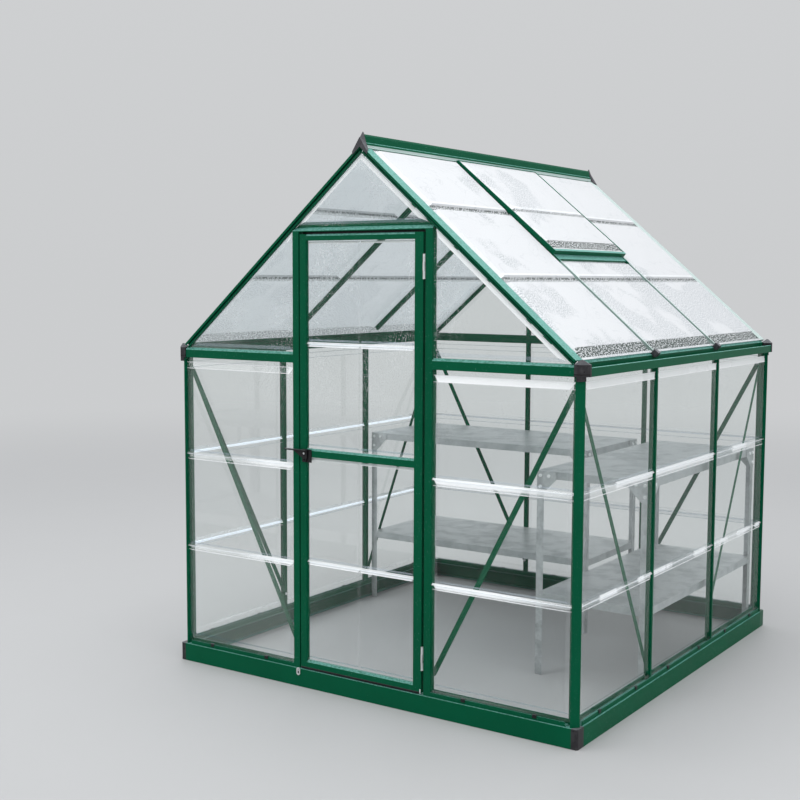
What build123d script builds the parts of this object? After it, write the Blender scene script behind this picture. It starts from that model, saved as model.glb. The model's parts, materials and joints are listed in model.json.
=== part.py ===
"""A small clear-panelled greenhouse: green aluminium frame on a steel skirt, one hinged door, one roof
vent, and galvanised two-tier staging along the rear and right walls.

Frame: origin on the ground under the middle of the house, +X to the right along the door gable,
+Y away from the door gable, +Z up. All lengths are in millimetres, all angles in degrees.
"""

import math
import os

from build123d import *

# Main sizes of the house
base_width = 1810.0
base_length = 1900.0
base_height = 70.0
eave_height = 1282.0
roof_pitch = 40.5
wall_inset = 8.0
side_bays = 3

# Sheet and extrusion thicknesses
skirt_gauge = 1.5
metal = 2.0
sheet = 1.0
moulded = 3.0

# Skirt of folded steel and its moulded corner covers
skirt_ledge = 44.0
skirt_foot = 25.0
cover_front_reach = 25.0
cover_side_reach = 47.0
cover_tongue = 30.0
cover_chamfer = 6.0

# Wall framing: depths are measured inwards from the outer face of the wall
member_depth = 28.0
post_face = 5.0
post_chamfer = 20.0
post_fin = 18.0
stud_cap_width = 10.0
stud_cap_depth = 3.0
stud_flange_width = 20.0
sill_face_height = 14.0
sill_back_height = 20.0
eave_beam_height = 40.0
eave_beam_bevel = 9.0
eave_beam_low = 1250.0
brace_width = 20.0
brace_top = 1207.0
brace_foot = 140.0
brace_lap = 6.0

# Wall panels: rows of clear sheet with folded lips that hook over each other
panel_depth = 12.0
lip_reach = 6.5
lip_height = 7.0
row_heights = (478.0, 858.0, 1231.0)
row_bevels = (15.0, 20.0, 24.0)
foot_bevel = 8.0
side_bevel = 20.0
tray_border = 3.0
first_tray_rise = 17.0
gable_border = 6.0
gable_bevel = 14.0
panel_gap = 0.5
sheet_play = 0.5

# Eave: gutter along each side wall
gutter_reach = 16.0
gutter_return = 5.0
gutter_back = 23.0
gutter_lip_height = 31.0
ledge_outer = 22.0
ledge_inner = 40.0

# Roof framing: heights are measured square to the slope from the gable rafters' top faces
rafter_width = 50.0
rafter_height = 20.0
rafter_lip = 9.0
rafter_foot_back = 26.0
mid_rafter_width = 18.0
mid_rafter_height = 26.0
mid_cap_width = 7.0
mid_cap_rise = 8.0
roof_sheet_drop = 5.0
roof_lip_rise = 5.0
roof_lip_run = 14.0
roof_lap = 12.0
roof_tray_rise = 12.0
roof_head_bevel = 8.0
roof_foot_bevel = 10.0
roof_last_bevel = 35.0
roof_side_bevel = 22.0
roof_eave_back = 32.6
roof_row_shares = (0.3156, 0.6556)
ridge_flange = 22.0
ridge_fin_root = 9.0
ridge_fin_profile = ((1.5, 38.0), (5.0, 31.0), (7.0, 9.0), (13.0, 5.0))
ridge_fin_skirt = 14.0
ridge_web_depth = 40.0

# Moulded corner brackets under the eaves and end caps on the ridge
bracket_reach = 38.0
bracket_proud = 3.0
bracket_height = 40.0
bracket_peak = 16.0
bracket_tip_share = 0.15
bracket_sleeve = 15.0
bracket_sleeve_side = 3.0
foot_width = 24.0
foot_length = 22.0
foot_rise = 16.0
cap_length = 27.0
cap_leg = 8.0
cap_edge = 4.0
cap_front = (26.0, 33.0)
cap_crest = (47.0, 25.0)
cap_back = (44.0, 15.0)
cap_crest_back = 20.0

# Roof vent in the middle bay of the right slope
vent_length = 600.0
vent_head_rise = 15.0
vent_foot_rise = 25.0
vent_bar = 18.0
vent_foot_bar = 22.0
vent_rim = 2.5
vent_foot_rim = 12.0
vent_seat = 4.0
vent_overlap = 9.0
vent_top_gap = 30.0
vent_sill = 25.0
vent_sill_top = 5.0
vent_tray_rise = 6.0

# Doorway, door leaf and its fittings
door_post_face = 28.5
doorway_half = 284.5
door_low = 76.0
door_head_gap = 9.0
door_latch_gap = 6.0
door_hinge_gap = 10.0
door_depth = 18.0
latch_stile_width = 28.0
hinge_stile_width = 35.0
top_rail_height = 24.0
mid_rail_height = 32.0
mid_rail_drop = 14.0
bottom_rail_height = 30.0
rail_bevel = 7.0
door_low_seam = 490.0
door_high_seam_drop = 409.0
door_bevel = 9.0
door_side_bevel = 8.0
crease_bevel = 6.0
crease_half = 1.0
header_drop = 39.8
header_slope_height = 16.0
header_slope_depth = 20.0
header_upstand = 20.0
hinge_radius = 3.5
hinge_pin_radius = 1.6
hinge_length = 88.0
hinge_low = 161.0
hinge_high_drop = 165.0
hinge_leaf = 1.5
hinge_leaf_reach = 20.0
hinge_play = 0.4
latch_height = 909.0
latch_edge = 3.0
latch_arm = 89.0
latch_blade_left = ((-48.0, 14.0), (-48.0, 6.0), (-9.0, -18.0), (-8.0, -26.0), (-3.0, -32.0))
latch_blade_right = ((5.0, -32.0), (10.0, -26.0), (13.0, -14.0), (13.0, 14.0))
latch_grip = 4.0
latch_grip_reach = 13.0
latch_plate_low = 34.0
latch_plate_high = 16.0
latch_plate_left = 14.0
latch_plate_right = 30.0
latch_pin = 4.0
latch_play = 0.3
latch_clear = 6.0
latch_eye = (1.0, -24.0)
latch_eye_radius = 4.0
catch_width = 17.0
catch_height = 30.0
catch_depth = 3.0
catch_slot = (7.0, 18.0)
clip_width = 16.0
clip_height = 12.0
clip_gauge = 3.0
clip_hook = 4.0
clip_shares = (0.25, 0.76)

# Staging: galvanised legs of angle and flat shelves with turned-down edges
staging_top = 820.0
staging_low = 330.0
staging_edge = 30.0
staging_gauge = 1.5
staging_leg = 30.0
staging_gusset = 85.0
staging_clear = 0.3
staging_right_inner = 390.0
staging_right_along = (-290.0, 870.0)
staging_rear_end = 300.0
staging_rear_along = (343.0, 870.0)

# Places that follow from the sizes above
half_width = base_width / 2 - wall_inset
half_length = base_length / 2 - wall_inset
tan_pitch = math.tan(math.radians(roof_pitch))
cos_pitch = math.cos(math.radians(roof_pitch))
sin_pitch = math.sin(math.radians(roof_pitch))
apex_height = eave_height + half_width * tan_pitch
roof_eave_slope = half_width / cos_pitch - roof_eave_back
roof_rows = [roof_eave_slope * share for share in roof_row_shares]
ledge_drop = roof_sheet_drop + 1
post_reach = post_face + post_chamfer
door_post_outer = doorway_half + door_post_face
header_low = apex_height - door_post_outer * tan_pitch - header_drop
door_high = header_low - door_head_gap
door_seams = (door_low_seam, door_high - door_high_seam_drop)
hinge_heights = (hinge_low, door_high - hinge_high_drop)
sill_top = base_height + metal + sill_face_height
eave_beam_high = eave_beam_low + eave_beam_height
bay_length = 2 * half_length / side_bays
stud_places = [-half_length + bay_length * n for n in range(1, side_bays)]
door_left = -doorway_half + door_latch_gap
door_right = doorway_half - door_hinge_gap
hinge_x = doorway_half - door_hinge_gap / 2
hinge_y = -half_length - hinge_radius
latch_x = door_left + latch_stile_width - latch_edge
mid_rail_low = latch_height - mid_rail_drop
wall_rows = list(zip(row_heights, row_bevels))
staging_side = base_width / 2 - skirt_ledge - staging_clear
staging_right = ((staging_right_inner, staging_side), staging_right_along)
staging_rear = ((-staging_side, staging_rear_end), staging_rear_along)

FRONT = Plane(origin=(0, -half_length, 0), x_dir=(1, 0, 0), z_dir=(0, 0, 1))
REAR = Plane(origin=(0, half_length, 0), x_dir=(-1, 0, 0), z_dir=(0, 0, 1))
RIGHT = Plane(origin=(half_width, 0, 0), x_dir=(0, 1, 0), z_dir=(0, 0, 1))
LEFT = Plane(origin=(-half_width, 0, 0), x_dir=(0, -1, 0), z_dir=(0, 0, 1))
PANEL = Plane(origin=(0, panel_depth, 0), x_dir=(1, 0, 0), z_dir=(0, -1, 0))
SLOPE = Plane(origin=(0, 0, apex_height), x_dir=(cos_pitch, 0, -sin_pitch), z_dir=(sin_pitch, 0, cos_pitch))


def roof_height(x, drop=0.0):
    """Height of the roof plane above a place x across the house, less a drop square to the slope."""
    return apex_height - abs(x) * tan_pitch - drop / cos_pitch


def block(x, y, z):
    """Box between two bounds along each axis."""
    size = (x[1] - x[0], y[1] - y[0], z[1] - z[0])
    return Pos(x[0], y[0], z[0]) * Box(*size, align=(Align.MIN, Align.MIN, Align.MIN))


def upright(outline, low, high):
    """Extrude a plan outline from one height to another."""
    return extrude(Plane.XY.offset(low) * outline, amount=high - low, dir=(0, 0, 1))


def lengthwise(section, start, end):
    """Extrude a (y, z) section along local x."""
    return extrude(Plane.YZ.offset(start) * section, amount=end - start, dir=(1, 0, 0))


def crosswise(section, start, end):
    """Extrude an (x, z) section along y."""
    plane = Plane(origin=(0, start, 0), x_dir=(1, 0, 0), z_dir=(0, -1, 0))
    return extrude(plane * section, amount=end - start, dir=(0, 1, 0))


def outline(*points):
    """Closed flat shape through the given points."""
    return make_face(Polyline(*points, close=True))


def rectangle(low, high):
    """Flat rectangle between two corners."""
    return outline(low, (high[0], low[1]), high, (low[0], high[1]))


def strip(points, thickness):
    """Flat shape of even thickness on the left of an open run of points, with mitred corners."""
    normals = []
    for (ax, ay), (bx, by) in zip(points, points[1:]):
        length = math.hypot(bx - ax, by - ay)
        normals.append((-(by - ay) / length, (bx - ax) / length))
    edge = []
    for index, (px, py) in enumerate(points):
        before = normals[max(index - 1, 0)]
        after = normals[min(index, len(normals) - 1)]
        reach = thickness / (1 + before[0] * after[0] + before[1] * after[1])
        edge.append((px + reach * (before[0] + after[0]), py + reach * (before[1] + after[1])))
    return outline(*points, *reversed(edge))


def inset(points, steps):
    """Corners of a convex anticlockwise outline after each side has moved inwards by its own step."""
    sides = []
    for (ax, ay), (bx, by), step in zip(points, [*points[1:], points[0]], steps):
        length = math.hypot(bx - ax, by - ay)
        nx, ny = (ay - by) / length, (bx - ax) / length
        sides.append((nx, ny, nx * ax + ny * ay + step))
    corners = []
    for (a, b, c), (d, e, f) in zip([sides[-1], *sides[:-1]], sides):
        across = a * e - d * b
        corners.append(((c * e - f * b) / across, (a * f - d * c) / across))
    return corners


def raised(base, crown, plane, rise):
    """Low block with sloping sides, from a base outline on a plane to a smaller crown above it."""
    return loft([plane * outline(*base), plane.offset(rise) * outline(*crown)], ruled=True)


def pressed(plate, base, bevels, plane, rise):
    """Press the field inside a base outline out of a plate, with one bevel to each side of the outline."""
    crown = inset(base, bevels)
    return (plate + raised(base, crown, plane, rise)) - raised(base, crown, plane.offset(-sheet), rise)


def hollow(points, thickness):
    """Closed tube section: the outline less the same outline moved in by the wall thickness."""
    face = outline(*points)
    return face - offset(face, amount=-thickness, kind=Kind.INTERSECTION)


def joined(shapes):
    """Fuse touching solids into one."""
    result = shapes[0]
    for shape in shapes[1:]:
        result = result + shape
    return result


def on(plane, shapes):
    """Place solids made in a wall's own frame onto that wall."""
    return [plane.location * shape for shape in shapes]


def both_sides(shapes):
    """Solids and their mirror images in the plane down the middle of the house."""
    return list(shapes) + [mirror(shape, about=Plane.YZ) for shape in shapes]


def both_ends(shapes):
    """Solids and their mirror images in the plane across the middle of the house."""
    return list(shapes) + [mirror(shape, about=Plane.XZ) for shape in shapes]


def skirt(half_run, corner, mitre_at):
    """Folded steel channel between two corner covers, with its flanges mitred at the ends."""
    face = -wall_inset
    section = strip(
        [(face + skirt_foot, 0), (face, 0), (face, base_height), (face + skirt_ledge, base_height)],
        -skirt_gauge,
    )
    channel = lengthwise(section, -half_run, half_run)
    mitre = outline(
        (-mitre_at, face),
        (mitre_at, face),
        (mitre_at - skirt_ledge, face + skirt_ledge),
        (skirt_ledge - mitre_at, face + skirt_ledge),
    )
    kept = upright(mitre, 0, base_height)
    end = block((half_run, mitre_at), (face, face + corner), (0, base_height))
    return (channel & kept) - end - mirror(end, about=Plane.YZ)


def corner_cover():
    """Moulded corner of the skirt at the front right: walls, a top that carries the post, two tongues."""
    x1, y0 = base_width / 2, -base_length / 2
    x0, y1 = x1 - cover_front_reach, y0 + cover_side_reach
    face = [(x0, y0), (x1 - cover_chamfer, y0), (x1, y0 + cover_chamfer), (x1, y1)]
    walls = upright(strip(face, moulded), 0, base_height)
    top = upright(outline(*face, (x0, y1)), base_height - moulded, base_height)
    front_tongue = block(
        (x0 - cover_tongue, x0 + moulded),
        (y0 + skirt_gauge, y0 + moulded),
        (skirt_gauge + 2, base_height - skirt_gauge - 2),
    )
    side_tongue = block(
        (x1 - moulded, x1 - skirt_gauge),
        (y1 - moulded, y1 + cover_tongue),
        (skirt_gauge + 2, base_height - skirt_gauge - 2),
    )
    return joined([walls, top, front_tongue, side_tongue])


def sill(start, end):
    """Bottom track of a wall: plate, outer face and inner upstand."""
    plate = rectangle((0, base_height), (member_depth + metal, base_height + metal))
    face = rectangle((0, base_height), (metal, sill_top))
    back = rectangle((member_depth, base_height), (member_depth + metal, base_height + sill_back_height))
    return lengthwise(plate + face + back, start, end)


def corner_post():
    """Chamfered tube with a fin along each wall, at the front right corner in the front wall's frame."""
    edge = half_width
    tube = hollow(
        [
            (edge - post_reach, 0),
            (edge - post_chamfer, 0),
            (edge, post_chamfer),
            (edge, post_reach),
            (edge - post_face, post_reach),
            (edge - post_reach, post_face),
        ],
        metal,
    )
    inner = edge - post_reach
    front_fin = rectangle((inner, post_face - metal), (inner + metal, member_depth)) + rectangle(
        (inner - post_fin, member_depth - metal), (inner + metal, member_depth)
    )
    fin_corner = (edge - member_depth, post_reach - metal)
    side_fin = rectangle(fin_corner, (edge - post_face + metal, post_reach))
    side_fin += rectangle(fin_corner, (edge - member_depth + metal, post_reach + post_fin))
    return upright(tube + front_fin + side_fin, base_height, eave_beam_low)


def stud(place, low, high):
    """Glazing bar between two bays: narrow outer cap, web and inner flange."""
    cap = rectangle((-stud_cap_width / 2, stud_cap_depth), (stud_cap_width / 2, stud_cap_depth + metal))
    web = rectangle((-metal / 2, stud_cap_depth), (metal / 2, member_depth))
    flange = rectangle((-stud_flange_width / 2, member_depth - metal), (stud_flange_width / 2, member_depth))
    return Pos(place, 0, 0) * upright(cap + web + flange, low, high)


def eave_beam(start, end):
    """Bevelled tube across a gable wall at eave height."""
    section = hollow(
        [
            (0, eave_beam_low),
            (member_depth, eave_beam_low),
            (member_depth, eave_beam_high),
            (eave_beam_bevel, eave_beam_high),
            (0, eave_beam_high - eave_beam_bevel),
        ],
        metal,
    )
    return lengthwise(section, start, end)


def gutter():
    """Eave profile of a side wall: trough, upright behind it and sloping ledge under the roof sheets."""
    low = eave_beam_low
    lip = low + gutter_lip_height
    trough = strip(
        [
            (gutter_return - gutter_reach, lip),
            (-gutter_reach, lip - metal),
            (-gutter_reach, low),
            (member_depth, low),
        ],
        metal,
    )
    back_high = roof_height(half_width - gutter_back, ledge_drop)
    back = rectangle((gutter_back, low), (gutter_back + metal, back_high))
    ledge = outline(
        (ledge_outer, roof_height(half_width - ledge_outer, ledge_drop)),
        (ledge_inner, roof_height(half_width - ledge_inner, ledge_drop)),
        (ledge_inner, roof_height(half_width - ledge_inner, ledge_drop + metal)),
        (ledge_outer, roof_height(half_width - ledge_outer, ledge_drop + metal)),
    )
    run = half_length - bracket_reach + wall_inset
    return lengthwise(trough + back + ledge, -run, run)


def brace(start, end):
    """Flat diagonal bar behind the framing, between two (x, z) ends, with rounded tips."""
    run = math.dist(start, end)
    angle = math.degrees(math.atan2(end[1] - start[1], end[0] - start[0]))
    middle = Pos((start[0] + end[0]) / 2, (start[1] + end[1]) / 2)
    bar = middle * Rot(0, 0, angle) * SlotOverall(run, brace_width)
    return crosswise(bar, member_depth, member_depth + metal)


def wall_sheet(start, end, low, high, bevel, top, rise=tray_border, columns=1):
    """One clear sheet: a lip that kicks outwards at its foot, one or two fields pressed proud of it."""
    out = panel_depth - lip_reach
    fold = [(out, low), (panel_depth, low + lip_height), (panel_depth, top)]
    plate = lengthwise(strip(fold, -sheet), start, end)
    foot = low + lip_height + rise
    middle = (start + end) / 2
    if columns == 1:
        fields = [(start + tray_border, end - tray_border, side_bevel, side_bevel)]
    else:
        fields = [
            (start + tray_border, middle - crease_half, door_side_bevel, crease_bevel),
            (middle + crease_half, end - tray_border, crease_bevel, door_side_bevel),
        ]
    for left, right, left_bevel, right_bevel in fields:
        base = [(left, foot), (right, foot), (right, high), (left, high)]
        plate = pressed(plate, base, [foot_bevel, right_bevel, bevel, left_bevel], PANEL, lip_reach)
    return plate


def sheet_rows(start, end, low, rows, top, columns=1):
    """Sheets of one bay from the sill up, with the last one running on flat to the member above it."""
    sheets = []
    foot = low
    for index, (head, bevel) in enumerate(rows):
        rise = first_tray_rise if index == 0 and columns == 1 else tray_border
        last = index == len(rows) - 1
        sheets.append(wall_sheet(start, end, foot, head, bevel, top if last else head, rise, columns))
        foot = head + sheet_play
    return sheets


def build_skirts():
    """Four skirt channels on the ground."""
    front = skirt(base_width / 2 - cover_front_reach, cover_side_reach, base_width / 2)
    side = skirt(base_length / 2 - cover_side_reach, cover_front_reach, base_length / 2)
    return {
        "base_front": on(FRONT, [front]),
        "base_rear": on(REAR, [front]),
        "base_right": on(RIGHT, [side]),
        "base_left": on(LEFT, [side]),
        "base_corner_covers": both_ends(both_sides([corner_cover()])),
    }


def build_wall_frame():
    """Sills, posts, studs, beams and braces of the four walls."""
    gable_end = half_width - post_reach - post_fin
    side_end = half_length - post_reach - post_fin
    side_sill = sill(-side_end, side_end)
    front_sill = sill(door_post_outer, gable_end)
    sills = both_sides(on(FRONT, [front_sill])) + on(REAR, [sill(-gable_end, gable_end)])
    sills += on(RIGHT, [side_sill]) + on(LEFT, [side_sill])

    stud_low = base_height + metal
    side_studs = [stud(place, stud_low, eave_beam_low) for place in stud_places]
    rear_place = door_post_outer
    rear_low = stud(rear_place, stud_low, eave_beam_low)
    rear_head = roof_height(rear_place + stud_flange_width / 2, rafter_height)
    rear_up = stud(rear_place, eave_beam_high, rear_head)

    post_plan = rectangle((doorway_half, 0), (door_post_outer, member_depth))
    post_plan = post_plan - rectangle(
        (doorway_half + metal, metal), (door_post_outer - metal, member_depth - metal)
    )
    door_post = upright(post_plan, base_height, header_low)

    beam_end = half_width + wall_inset - bracket_reach
    front_beam = eave_beam(door_post_outer, beam_end)
    rear_beam = eave_beam(-beam_end, beam_end)

    gable_brace = brace((gable_end + brace_lap, brace_top), (door_post_outer - brace_lap, brace_foot))
    side_top = (side_end + brace_lap, brace_top)
    side_foot = (stud_places[-1], brace_foot)
    side_brace = brace(side_top, side_foot)
    side_pair = both_sides([side_brace])
    return {
        "sill_tracks": sills,
        "corner_posts": both_ends(both_sides(on(FRONT, [corner_post()]))),
        "door_posts": both_sides(on(FRONT, [door_post])),
        "side_studs": on(LEFT, side_studs) + on(RIGHT, side_studs),
        "rear_studs": both_sides(on(REAR, [rear_low, rear_up])),
        "eave_beams": both_sides(on(FRONT, [front_beam])) + on(REAR, [rear_beam]),
        "gable_braces": both_ends(both_sides(on(FRONT, [gable_brace]))),
        "side_braces": on(LEFT, side_pair) + on(RIGHT, side_pair),
    }


def build_eaves():
    """Gutters along the side walls, moulded brackets at the corners and caps on the rafter feet."""
    return {
        "gutter_right": on(RIGHT, [gutter()]),
        "gutter_left": on(LEFT, [gutter()]),
        "eave_brackets": both_ends(both_sides([eave_bracket()])),
        "rafter_feet": both_sides([rafter_foot(place) for place in stud_places]),
    }


def eave_bracket():
    """Moulded bracket at the front right corner: sleeve on the post, body, hipped top."""
    x1 = half_width + gutter_reach + metal
    y0 = -half_length - bracket_proud
    x0 = half_width + wall_inset - bracket_reach
    y1 = -half_length - wall_inset + bracket_reach
    chamfer = post_chamfer + metal
    top = eave_beam_low + bracket_height
    corners = [(x0, y0), (x1 - chamfer, y0), (x1, y0 + chamfer), (x1, y1), (x0, y1)]
    body = upright(outline(*corners), eave_beam_low, top)
    tip_x, tip_y, share = half_width - wall_inset, wall_inset - half_length, bracket_tip_share
    tip = [(tip_x + (x - tip_x) * share, tip_y + (y - tip_y) * share) for x, y in corners]
    peak = raised(corners, tip, Plane.XY.offset(top), bracket_peak)
    sleeve_reach = post_reach - bracket_sleeve_side
    sleeve_plan = outline(
        (half_width - sleeve_reach, y0),
        (x1 - chamfer, y0),
        (half_width + bracket_proud, -half_length + post_chamfer),
        (half_width + bracket_proud, -half_length + sleeve_reach),
        (half_width - post_face, -half_length + sleeve_reach),
        (half_width - sleeve_reach, -half_length + post_face),
    )
    post_plan = outline(
        (half_width - post_reach, -half_length),
        (half_width - post_chamfer, -half_length),
        (half_width, -half_length + post_chamfer),
        (half_width, -half_length + post_reach),
        (half_width - post_face, -half_length + post_reach),
        (half_width - post_reach, -half_length + post_face),
    )
    sleeve = upright(sleeve_plan - post_plan, eave_beam_low - bracket_sleeve, eave_beam_low)
    rafter_run = (half_width / cos_pitch - 2 * rafter_width, rafter_end_slope())
    return joined([body, peak, sleeve]) - rafter_room(rafter_run)


def rafter_room(run):
    """Space that the front right gable rafter takes up over a run of the slope, and the space above it."""
    sides = (-half_length, -half_length + rafter_width)
    return SLOPE.location * block(run, sides, (-rafter_height, 3 * rafter_height))


def rafter_end_slope():
    """Distance down the slope at which a gable rafter's foot stops."""
    return (half_width - rafter_foot_back) / cos_pitch


def rafter_foot(place):
    """Moulded cap on the foot of an intermediate rafter."""
    run = (roof_eave_slope, roof_eave_slope + foot_length)
    sides = (place - foot_width / 2, place + foot_width / 2)
    return SLOPE.location * block(run, sides, (-ledge_drop, foot_rise))


def gable_rafter():
    """Rafter over the front gable on the right slope: broad top, grooved outer face, lower flange."""
    y0 = -half_length
    top = rectangle((y0, -metal), (y0 + rafter_width, 0))
    lip = rectangle((y0, -rafter_lip), (y0 + metal, 0))
    web = rectangle((y0 + panel_depth + 4, -rafter_height), (y0 + panel_depth + 4 + metal, 0))
    lower = rectangle((y0 + 4, -rafter_height), (y0 + panel_depth + 4 + metal, metal - rafter_height))
    lower_lip = rectangle((y0 + 4, -rafter_height), (y0 + 4 + metal, 5 - rafter_height))
    bar = SLOPE.location * lengthwise(top + lip + web + lower + lower_lip, -20, rafter_end_slope())
    half = block((metal, 2 * half_width), (-base_length, base_length), (eave_beam_high, 2 * apex_height))
    return bar & half


def mid_rafter(place):
    """Intermediate rafter on the right slope: cap over the sheets, web and lower flange."""
    half, cap_half = mid_rafter_width / 2, mid_cap_width / 2
    cap = rectangle((place - cap_half, mid_cap_rise - metal), (place + cap_half, mid_cap_rise))
    high_web = rectangle((place - metal / 2, -2 * metal), (place + metal / 2, mid_cap_rise - metal))
    low_web = rectangle((place - metal / 2, -mid_rafter_height), (place + metal / 2, -metal / 4))
    flange = rectangle((place - half, -mid_rafter_height), (place + half, metal - mid_rafter_height))
    foot = (half_width - ledge_inner) / cos_pitch - 2 * rafter_height
    bar = joined([
        SLOPE.location * lengthwise(low_web, -20, roof_eave_slope),
        SLOPE.location * lengthwise(flange, -20, foot),
        SLOPE.location * lengthwise(cap + high_web, ridge_flange + 1, roof_eave_slope),
    ])
    sides = (place - mid_rafter_width, place + mid_rafter_width)
    clear = SLOPE.location * block((foot, roof_eave_slope + 1), sides, (-2 * mid_rafter_height, -ledge_drop))
    return (bar & block((metal, 2 * half_width), (-base_length, base_length), (0, 2 * apex_height))) - clear


def ridge():
    """Ridge extrusion: two flanges over the sheets, a hollow fin on top and a web between the rafters."""
    end = half_length + bracket_proud - cap_length
    flange_end = ridge_flange * cos_pitch
    rise = metal / cos_pitch
    flanges = outline(
        (0, apex_height + rise),
        (flange_end, roof_height(flange_end) + rise),
        (flange_end, roof_height(flange_end)),
        (0, apex_height),
        (-flange_end, roof_height(flange_end)),
        (-flange_end, roof_height(flange_end) + rise),
    )
    side = [(x, apex_height + up) for x, up in ridge_fin_profile]
    side.append((ridge_fin_skirt, roof_height(ridge_fin_skirt) + rise))
    fin = outline(*side, (0, apex_height), *[(-x, z) for x, z in reversed(side)])
    bore_low, bore_high = apex_height + rise + 1, side[1][1] - metal
    bore_foot, bore_head = side[2][0] - 1.5 * metal, side[1][0] - metal
    bore = outline(
        (-bore_foot, bore_low), (bore_foot, bore_low), (bore_head, bore_high), (-bore_head, bore_high)
    )
    web = rectangle((-metal, apex_height - ridge_web_depth), (metal, apex_height))
    return crosswise(flanges + fin + web - bore, -end, end)


def cap_section(y, tip, half, leg):
    """Cross-section of the ridge cap at one place along the house."""
    side = roof_height(half)
    plane = Plane(origin=(0, y, 0), x_dir=(1, 0, 0), z_dir=(0, -1, 0))
    return plane * outline(
        (0, apex_height + tip),
        (-half, side + cap_edge),
        (-half, side - leg),
        (0, apex_height - leg),
        (half, side - leg),
        (half, side + cap_edge),
    )


def ridge_cap():
    """Moulded end cap over the front end of the ridge, with a leaning face and legs over the rafters."""
    y0 = -half_length - bracket_proud
    outer = cap_section(y0, *cap_front, cap_leg)
    plate = loft([outer, cap_section(-half_length, *cap_front, cap_leg)], ruled=True)
    front = cap_section(-half_length, *cap_front, 0)
    crest = cap_section(y0 + cap_crest_back, *cap_crest, 0)
    back = cap_section(y0 + cap_length, *cap_back, 0)
    return joined([plate, loft([front, crest], ruled=True), loft([crest, back], ruled=True)])


def build_roof_frame():
    """Rafters, ridge and ridge caps."""
    return {
        "gable_rafters": both_ends(both_sides([gable_rafter()])),
        "mid_rafters": both_sides([mid_rafter(place) for place in stud_places]),
        "ridge_beam": [ridge()],
        "ridge_caps": both_ends([ridge_cap()]),
    }


def roof_sheet(sides, borders, head, foot, last=False):
    """One roof sheet between two rafters: a lip at its foot and a field pressed proud of its border."""
    start, end = sides
    low, lip = -roof_sheet_drop, roof_lip_rise - roof_sheet_drop
    flat_end = foot - roof_lip_run
    fold = [(head, low), (flat_end, low), (flat_end + roof_lip_rise, lip), (foot, lip)]
    plate = crosswise(strip(fold, sheet), start, end)
    x0 = max(head + roof_lap, ridge_flange) + tray_border
    x1 = flat_end - sheet
    y0, y1 = start + borders[0], end - borders[1]
    base = [(x0, y0), (x1, y0), (x1, y1), (x0, y1)]
    foot_slope = roof_last_bevel if last else roof_foot_bevel
    bevels = [roof_side_bevel, foot_slope, roof_side_bevel, roof_head_bevel]
    return SLOPE.location * pressed(plate, base, bevels, Plane.XY.offset(low + sheet), roof_tray_rise)


def roof_bays():
    """Bounds along the house of the sheets in each roof bay, with the width of the border at each bound."""
    gable = half_length - panel_depth - wall_inset
    edges = [-gable] + stud_places + [gable]
    gap = metal / 2 + panel_gap
    wide = rafter_width - panel_depth - wall_inset - gap + tray_border
    bays = []
    for index, (low, high) in enumerate(zip(edges, edges[1:])):
        borders = (wide if index == 0 else tray_border, wide if index == side_bays - 1 else tray_border)
        bays.append(((low + gap, high - gap), borders))
    return bays


def build_roof_sheets():
    """Clear sheets of both slopes, with the vent's opening left in the middle bay on the right."""
    under_flange = SLOPE.location * block(
        (0, half_width / cos_pitch),
        (-half_length, -half_length + rafter_width + panel_gap),
        (-metal - panel_gap, 2 * roof_tray_rise),
    )
    flanges = both_ends([under_flange])
    head = ridge_fin_root / cos_pitch + 4
    rows = list(zip([head] + [row - roof_lap for row in roof_rows], roof_rows + [roof_eave_slope]))
    left, right = [], []
    for index, (sides, borders) in enumerate(roof_bays()):
        whole = [roof_sheet(sides, borders, h, f, f == roof_eave_slope) for h, f in rows]
        if index in (0, side_bays - 1):
            flange = flanges[0 if index == 0 else 1]
            whole = [piece - flange for piece in whole]
        left += [mirror(piece, about=Plane.YZ) for piece in whole]
        if index == side_bays // 2:
            right += [roof_sheet(sides, borders, vent_length + vent_sill, roof_rows[-1]), whole[-1]]
        else:
            right += whole
    return {"roof_sheets_left": left, "roof_sheets_right": right}


def build_wall_sheets():
    """Clear sheets of the four walls."""
    foot = sill_top + sheet_play
    gap = metal / 2 + panel_gap
    front_bay = (door_post_outer + panel_gap, half_width - post_reach - panel_gap)
    head = eave_beam_low - sheet_play
    front = sheet_rows(*front_bay, foot, wall_rows, head)
    side_edges = [-half_length + post_reach] + stud_places + [half_length - post_reach]
    side = []
    for index, (low, high) in enumerate(zip(side_edges, side_edges[1:])):
        start = low + (panel_gap if index == 0 else gap)
        end = high - (panel_gap if index == side_bays - 1 else gap)
        side += sheet_rows(start, end, foot, wall_rows, head)
    rear = sheet_rows(door_post_outer + gap, half_width - post_reach - panel_gap, foot, wall_rows, head)
    rear_middle = sheet_rows(-door_post_outer + gap, door_post_outer - gap, foot, wall_rows, head)
    return {
        "wall_sheets_front": both_sides(on(FRONT, front)),
        "wall_sheets_rear": both_sides(on(REAR, rear)) + on(REAR, rear_middle),
        "wall_sheets_right": on(RIGHT, side),
        "wall_sheets_left": on(LEFT, side),
    }


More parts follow.
